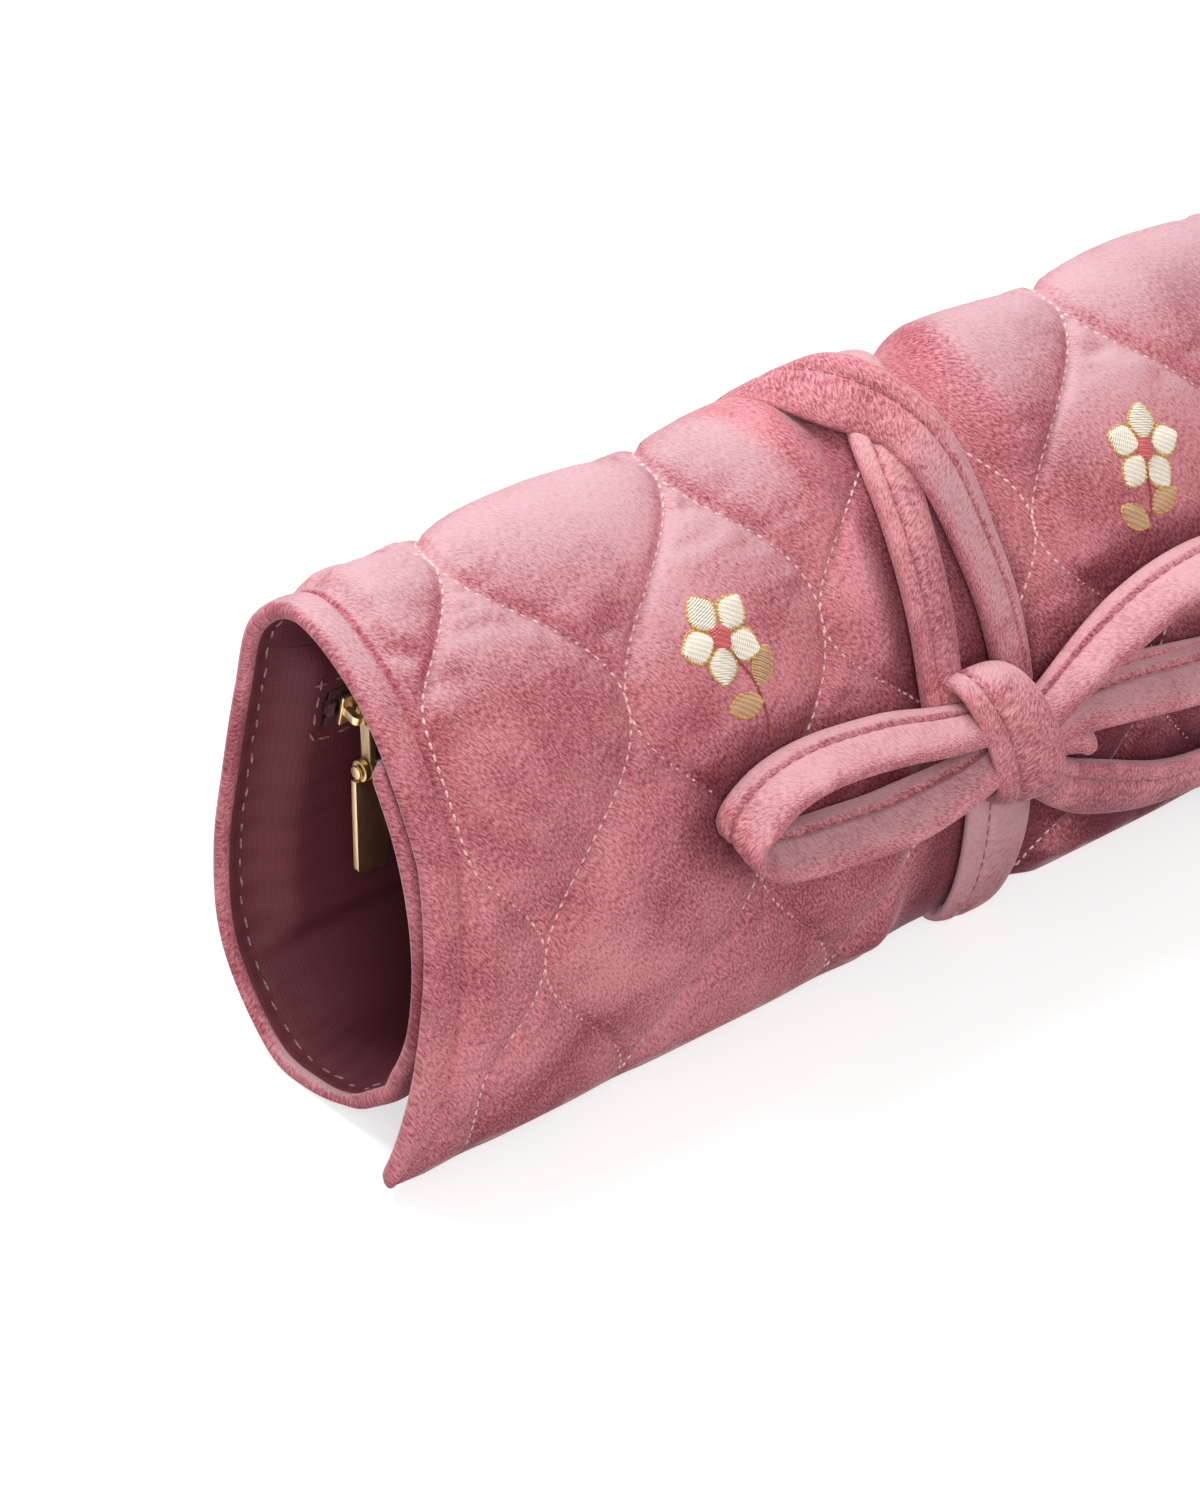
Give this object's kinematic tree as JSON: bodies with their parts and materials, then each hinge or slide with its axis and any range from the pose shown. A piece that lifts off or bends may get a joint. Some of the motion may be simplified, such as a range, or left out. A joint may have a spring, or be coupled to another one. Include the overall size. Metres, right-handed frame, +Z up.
{
  "type": "jewelry roll",
  "caption": "Rolled quilted velvet jewelry roll with satin lining, zip pocket, ring bar, and a velvet strap tied in a bow round its middle",
  "frame": {"origin": "on the table under the middle of the whole object's box", "axes": "+X along the roll to the right, +Y to the back (the flap and its bow are at the front, -Y), +Z up"},
  "size_m": [0.2486, 0.0826, 0.1007],
  "materials": {
    "velvet": "dusty rose velvet, soft sheen",
    "wadding": "pale polyester wadding",
    "satin_lining": "mauve satin, slight lustre",
    "zip_tape": "dark maroon woven tape",
    "gold_metal": "polished pale gold plate",
    "snap_steel": "nickel-plated press stud"
  },
  "bodies": {
    "roll": {"roll_cover": "velvet", "roll_wadding": "wadding", "roll_lining": "satin_lining", "roll_binding_left": "velvet", "roll_binding_right": "velvet", "inner_end_binding": "velvet", "zip_tape_upper": "zip_tape", "zip_tape_lower": "zip_tape", "zip_teeth_upper": "gold_metal", "zip_teeth_lower": "gold_metal", "zip_stop_left": "gold_metal", "zip_stop_right": "gold_metal", "zip_pocket_backing": "satin_lining", "snap_stud": "snap_steel", "ring_bar_anchor": "velvet", "tie_band": "velvet", "tie_band_end": "velvet", "tie_knot": "velvet", "bow_loop_left": "velvet", "bow_loop_right": "velvet", "tie_tail_lower": "velvet", "tie_tail_upper": "velvet"},
    "flap": {"flap_cover": "velvet", "flap_wadding": "wadding", "flap_lining": "satin_lining", "flap_binding_left": "velvet", "flap_binding_right": "velvet", "flap_end_binding": "velvet"},
    "slider": {"slider": "gold_metal"},
    "pull_link": {"pull_link": "gold_metal"},
    "pull_tab": {"pull_tab": "gold_metal", "link_pin": "gold_metal"},
    "ring_bar": {"ring_bar": "velvet", "snap_socket": "snap_steel"}
  },
  "joints": [
    {"name": "flap_open", "type": "hinge", "parent": "roll", "child": "flap", "pos_m": [0, -0.00148, 0.09317], "axis": [-1, 0, 0], "range_deg": [0, 100], "deforming": ["tie_band", "tie_band_end", "tie_knot", "bow_loop_left", "bow_loop_right", "tie_tail_lower", "tie_tail_upper"]},
    {"name": "zip_slide", "type": "slide", "parent": "roll", "child": "slider", "axis": [1, 0, 0], "range_m": [0, 0.201]},
    {"name": "link_swing", "type": "hinge", "parent": "slider", "child": "pull_link", "pos_m": [-0.09625, 0.02098, 0.06407], "axis": [-1, 0, 0], "range_deg": [-5, 60]},
    {"name": "tab_swing", "type": "hinge", "parent": "pull_link", "child": "pull_tab", "pos_m": [-0.09625, 0.02098, 0.05407], "axis": [-1, 0, 0], "range_deg": [-10, 60]},
    {"name": "ring_bar_lift", "type": "hinge", "parent": "roll", "child": "ring_bar", "pos_m": [0.07725, -0.008, 0.02972], "axis": [0, 0.2261, -0.9741], "range_deg": [0, 5]}
  ]
}
